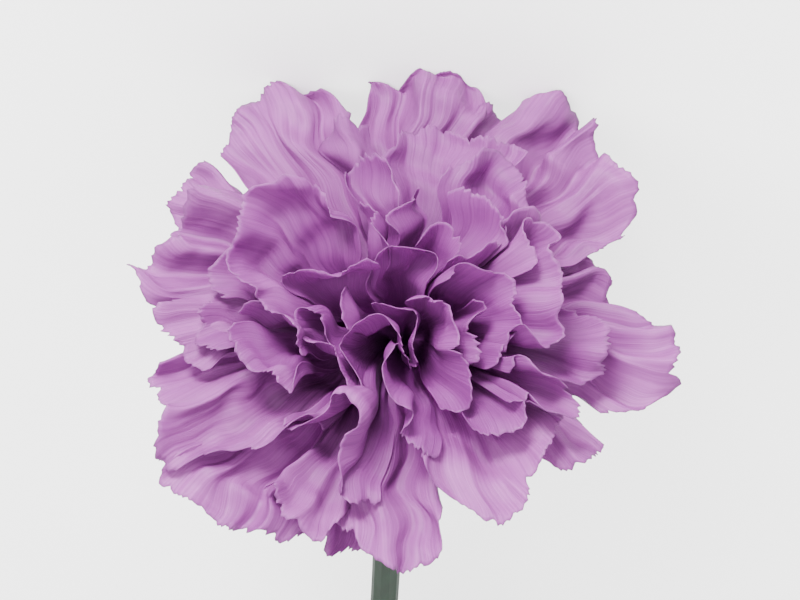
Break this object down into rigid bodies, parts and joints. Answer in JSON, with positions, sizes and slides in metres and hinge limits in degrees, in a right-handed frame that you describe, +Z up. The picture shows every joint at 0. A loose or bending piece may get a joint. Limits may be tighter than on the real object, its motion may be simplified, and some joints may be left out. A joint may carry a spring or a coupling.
{
  "type": "cut carnation",
  "caption": "Cut lilac carnation lying on its side: a full ruffled flower head in a green calyx, on a slender stem with narrow leaves.",
  "frame": {"origin": "on the floor, under the middle of the lying flower's box", "axes": "+Z up; the stem runs towards +Y and the face of the flower looks towards -Y and slightly up; +X is the left of the picture"},
  "size_m": [0.0814, 0.2398, 0.0842],
  "materials": {
    "outer_petal": "matt, velvety lilac with paler margins",
    "middle_petal": "matt, velvety lilac",
    "inner_petal": "matt, velvety lilac, deeper towards the base",
    "calyx": "waxy green",
    "bract": "waxy green",
    "pistil": "moist cream",
    "stem": "waxy dark green with a blue-grey bloom",
    "leaf": "waxy blue-green"
  },
  "bodies": {
    "root": {"bract_1": "bract", "bract_2": "bract", "bract_3": "bract", "bract_4": "bract", "calyx": "calyx", "inner_petal_01": "inner_petal", "inner_petal_02": "inner_petal", "inner_petal_03": "inner_petal", "inner_petal_04": "inner_petal", "inner_petal_05": "inner_petal", "inner_petal_06": "inner_petal", "inner_petal_07": "inner_petal", "inner_petal_08": "inner_petal", "inner_petal_09": "inner_petal", "inner_petal_10": "inner_petal", "inner_petal_11": "inner_petal", "inner_petal_12": "inner_petal", "inner_petal_13": "inner_petal", "inner_petal_14": "inner_petal", "lower_leaf_left": "leaf", "lower_leaf_right": "leaf", "middle_petal_01": "middle_petal", "middle_petal_02": "middle_petal", "middle_petal_03": "middle_petal", "middle_petal_04": "middle_petal", "middle_petal_05": "middle_petal", "middle_petal_06": "middle_petal", "middle_petal_07": "middle_petal", "middle_petal_08": "middle_petal", "middle_petal_09": "middle_petal", "middle_petal_10": "middle_petal", "middle_petal_11": "middle_petal", "middle_petal_12": "middle_petal", "middle_petal_13": "middle_petal", "middle_petal_14": "middle_petal", "outer_petal_01": "outer_petal", "outer_petal_02": "outer_petal", "outer_petal_03": "outer_petal", "outer_petal_04": "outer_petal", "outer_petal_05": "outer_petal", "outer_petal_06": "outer_petal", "outer_petal_07": "outer_petal", "outer_petal_08": "outer_petal", "outer_petal_09": "outer_petal", "outer_petal_10": "outer_petal", "outer_petal_11": "outer_petal", "outer_petal_12": "outer_petal", "outer_petal_13": "outer_petal", "outer_petal_14": "outer_petal", "outer_petal_15": "outer_petal", "outer_petal_16": "outer_petal", "pistil": "pistil", "stem": "stem", "upper_leaf_left": "leaf", "upper_leaf_right": "leaf"}
  },
  "joints": []
}
